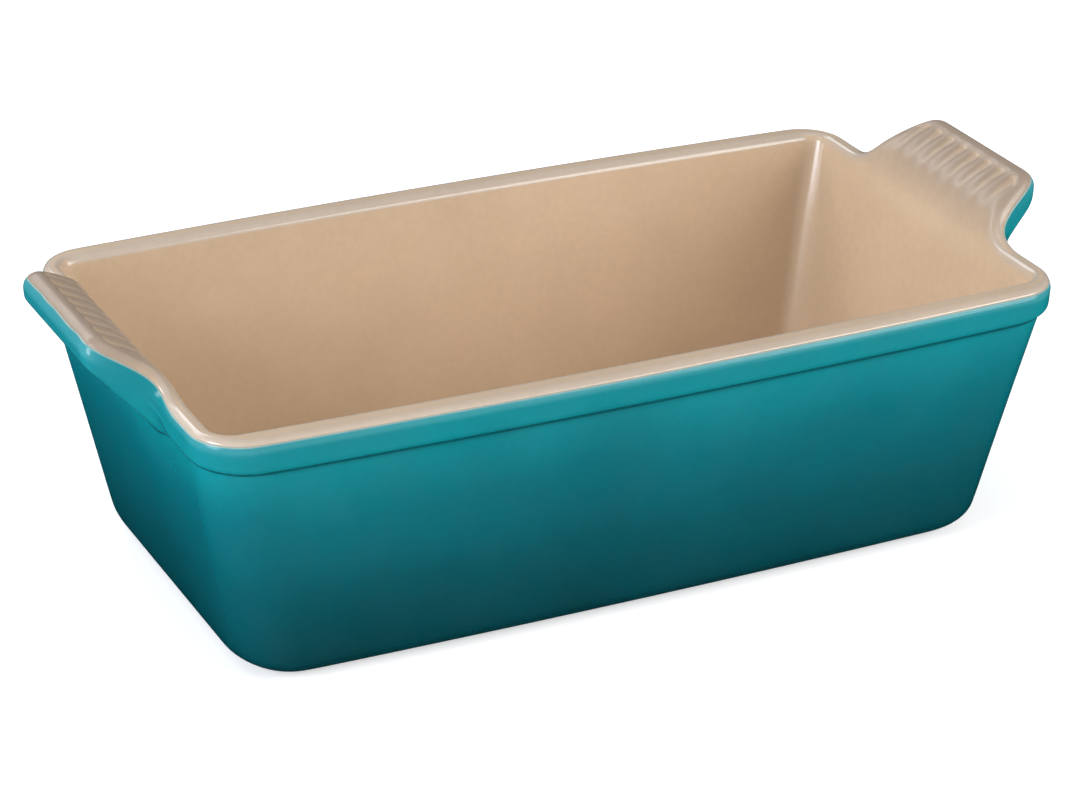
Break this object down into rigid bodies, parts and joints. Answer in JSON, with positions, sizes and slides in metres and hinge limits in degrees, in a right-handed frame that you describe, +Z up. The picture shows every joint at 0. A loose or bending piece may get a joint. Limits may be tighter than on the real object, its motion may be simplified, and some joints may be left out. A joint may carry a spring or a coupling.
{
  "type": "loaf pan",
  "caption": "Deep rectangular glazed stoneware loaf dish with a collared rim and a grooved lug handle rising from each end.",
  "frame": {"origin": "middle of the foot ring, on the surface the dish stands on", "axes": "+X along the length towards one handle, +Y across the width, +Z up"},
  "size_m": [0.3002, 0.1504, 0.0966],
  "materials": {
    "stoneware": "unglazed fired clay, fine matt grain",
    "exterior_glaze": "glossy turquoise glaze, bright at the collar and deep teal at the foot",
    "interior_glaze": "glossy sand-coloured glaze",
    "base_glaze": "glossy deep teal glaze"
  },
  "bodies": {
    "root": {"stoneware_body": "stoneware", "exterior_glaze": "exterior_glaze", "interior_glaze": "interior_glaze", "base_glaze": "base_glaze"}
  },
  "joints": []
}
